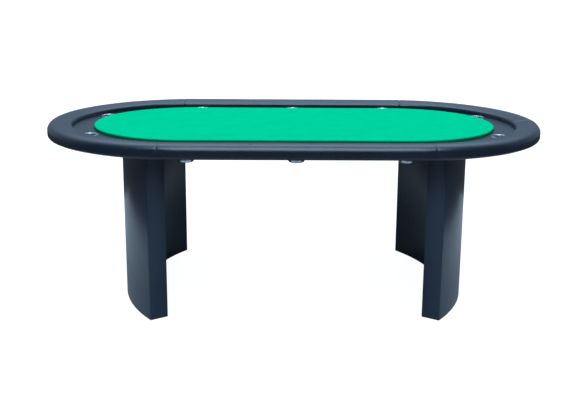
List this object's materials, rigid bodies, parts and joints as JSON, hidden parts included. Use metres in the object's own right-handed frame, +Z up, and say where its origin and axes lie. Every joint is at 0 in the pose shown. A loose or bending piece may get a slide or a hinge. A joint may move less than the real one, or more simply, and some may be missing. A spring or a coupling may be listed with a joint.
{
  "type": "poker table",
  "caption": "Stadium-shaped card table with a padded vinyl rail, a racetrack of drop-in steel cup holders, a raised green cloth playing surface and curved panel legs.",
  "frame": {"origin": "on the floor under the centre of the table", "axes": "+X along the table to the right as the front players see it, +Y to the rear, +Z up"},
  "size_m": [2.134, 1.219, 0.75],
  "materials": {
    "rail_vinyl": "satin",
    "racetrack_vinyl": "satin",
    "green_cloth": "matte",
    "foam": "matte",
    "plywood": "satin",
    "mdf": "matte",
    "softwood": "satin",
    "leg_black": "satin",
    "stainless_steel": "satin",
    "zinc_steel": "satin",
    "black_steel": "satin",
    "glide_nylon": "matte"
  },
  "bodies": {
    "table": {"batten_screws": "zinc_steel", "cross_battens": "softwood", "deck_board": "plywood", "left_leg_bracket_screws": "zinc_steel", "left_leg_brackets": "black_steel", "left_leg_end_posts": "softwood", "left_leg_glides": "glide_nylon", "left_leg_inner_skin": "mdf", "left_leg_outer_skin": "mdf", "left_leg_ribs": "mdf", "left_leg_wrap": "leg_black", "long_battens": "softwood", "playfield_board": "mdf", "playfield_cloth": "green_cloth", "playfield_foam": "foam", "playfield_screws": "zinc_steel", "racetrack_board": "mdf", "racetrack_screws": "zinc_steel", "racetrack_vinyl": "racetrack_vinyl", "rail_base_front": "plywood", "rail_base_left": "plywood", "rail_base_rear": "plywood", "rail_base_right": "plywood", "rail_bolts": "zinc_steel", "rail_cover_front": "rail_vinyl", "rail_cover_left": "rail_vinyl", "rail_cover_rear": "rail_vinyl", "rail_cover_right_front": "rail_vinyl", "rail_cover_right_rear": "rail_vinyl", "rail_foam_front": "foam", "rail_foam_left_front": "foam", "rail_foam_left_rear": "foam", "rail_foam_rear": "foam", "rail_foam_right_front": "foam", "rail_foam_right_rear": "foam", "rail_skirt_front": "plywood", "rail_skirt_left": "plywood", "rail_skirt_rear": "plywood", "rail_skirt_right": "plywood", "rail_tee_nuts": "zinc_steel", "rail_washers": "zinc_steel", "right_leg_bracket_screws": "zinc_steel", "right_leg_brackets": "black_steel", "right_leg_end_posts": "softwood", "right_leg_glides": "glide_nylon", "right_leg_inner_skin": "mdf", "right_leg_outer_skin": "mdf", "right_leg_ribs": "mdf", "right_leg_wrap": "leg_black"},
    "cup_1": {"cup_holder_1": "stainless_steel"},
    "cup_2": {"cup_holder_2": "stainless_steel"},
    "cup_3": {"cup_holder_3": "stainless_steel"},
    "cup_4": {"cup_holder_4": "stainless_steel"},
    "cup_5": {"cup_holder_5": "stainless_steel"},
    "cup_6": {"cup_holder_6": "stainless_steel"},
    "cup_7": {"cup_holder_7": "stainless_steel"},
    "cup_8": {"cup_holder_8": "stainless_steel"},
    "cup_9": {"cup_holder_9": "stainless_steel"},
    "cup_10": {"cup_holder_10": "stainless_steel"}
  },
  "joints": [
    {"name": "cup_1_lift", "type": "slide", "parent": "table", "child": "cup_1", "axis": [0, 0, 1], "range_m": [0, 0.12]},
    {"name": "cup_2_lift", "type": "slide", "parent": "table", "child": "cup_2", "axis": [0, 0, 1], "range_m": [0, 0.12]},
    {"name": "cup_3_lift", "type": "slide", "parent": "table", "child": "cup_3", "axis": [0, 0, 1], "range_m": [0, 0.12]},
    {"name": "cup_4_lift", "type": "slide", "parent": "table", "child": "cup_4", "axis": [0, 0, 1], "range_m": [0, 0.12]},
    {"name": "cup_5_lift", "type": "slide", "parent": "table", "child": "cup_5", "axis": [0, 0, 1], "range_m": [0, 0.12]},
    {"name": "cup_6_lift", "type": "slide", "parent": "table", "child": "cup_6", "axis": [0, 0, 1], "range_m": [0, 0.12]},
    {"name": "cup_7_lift", "type": "slide", "parent": "table", "child": "cup_7", "axis": [0, 0, 1], "range_m": [0, 0.12]},
    {"name": "cup_8_lift", "type": "slide", "parent": "table", "child": "cup_8", "axis": [0, 0, 1], "range_m": [0, 0.12]},
    {"name": "cup_9_lift", "type": "slide", "parent": "table", "child": "cup_9", "axis": [0, 0, 1], "range_m": [0, 0.12]},
    {"name": "cup_10_lift", "type": "slide", "parent": "table", "child": "cup_10", "axis": [0, 0, 1], "range_m": [0, 0.12]}
  ]
}
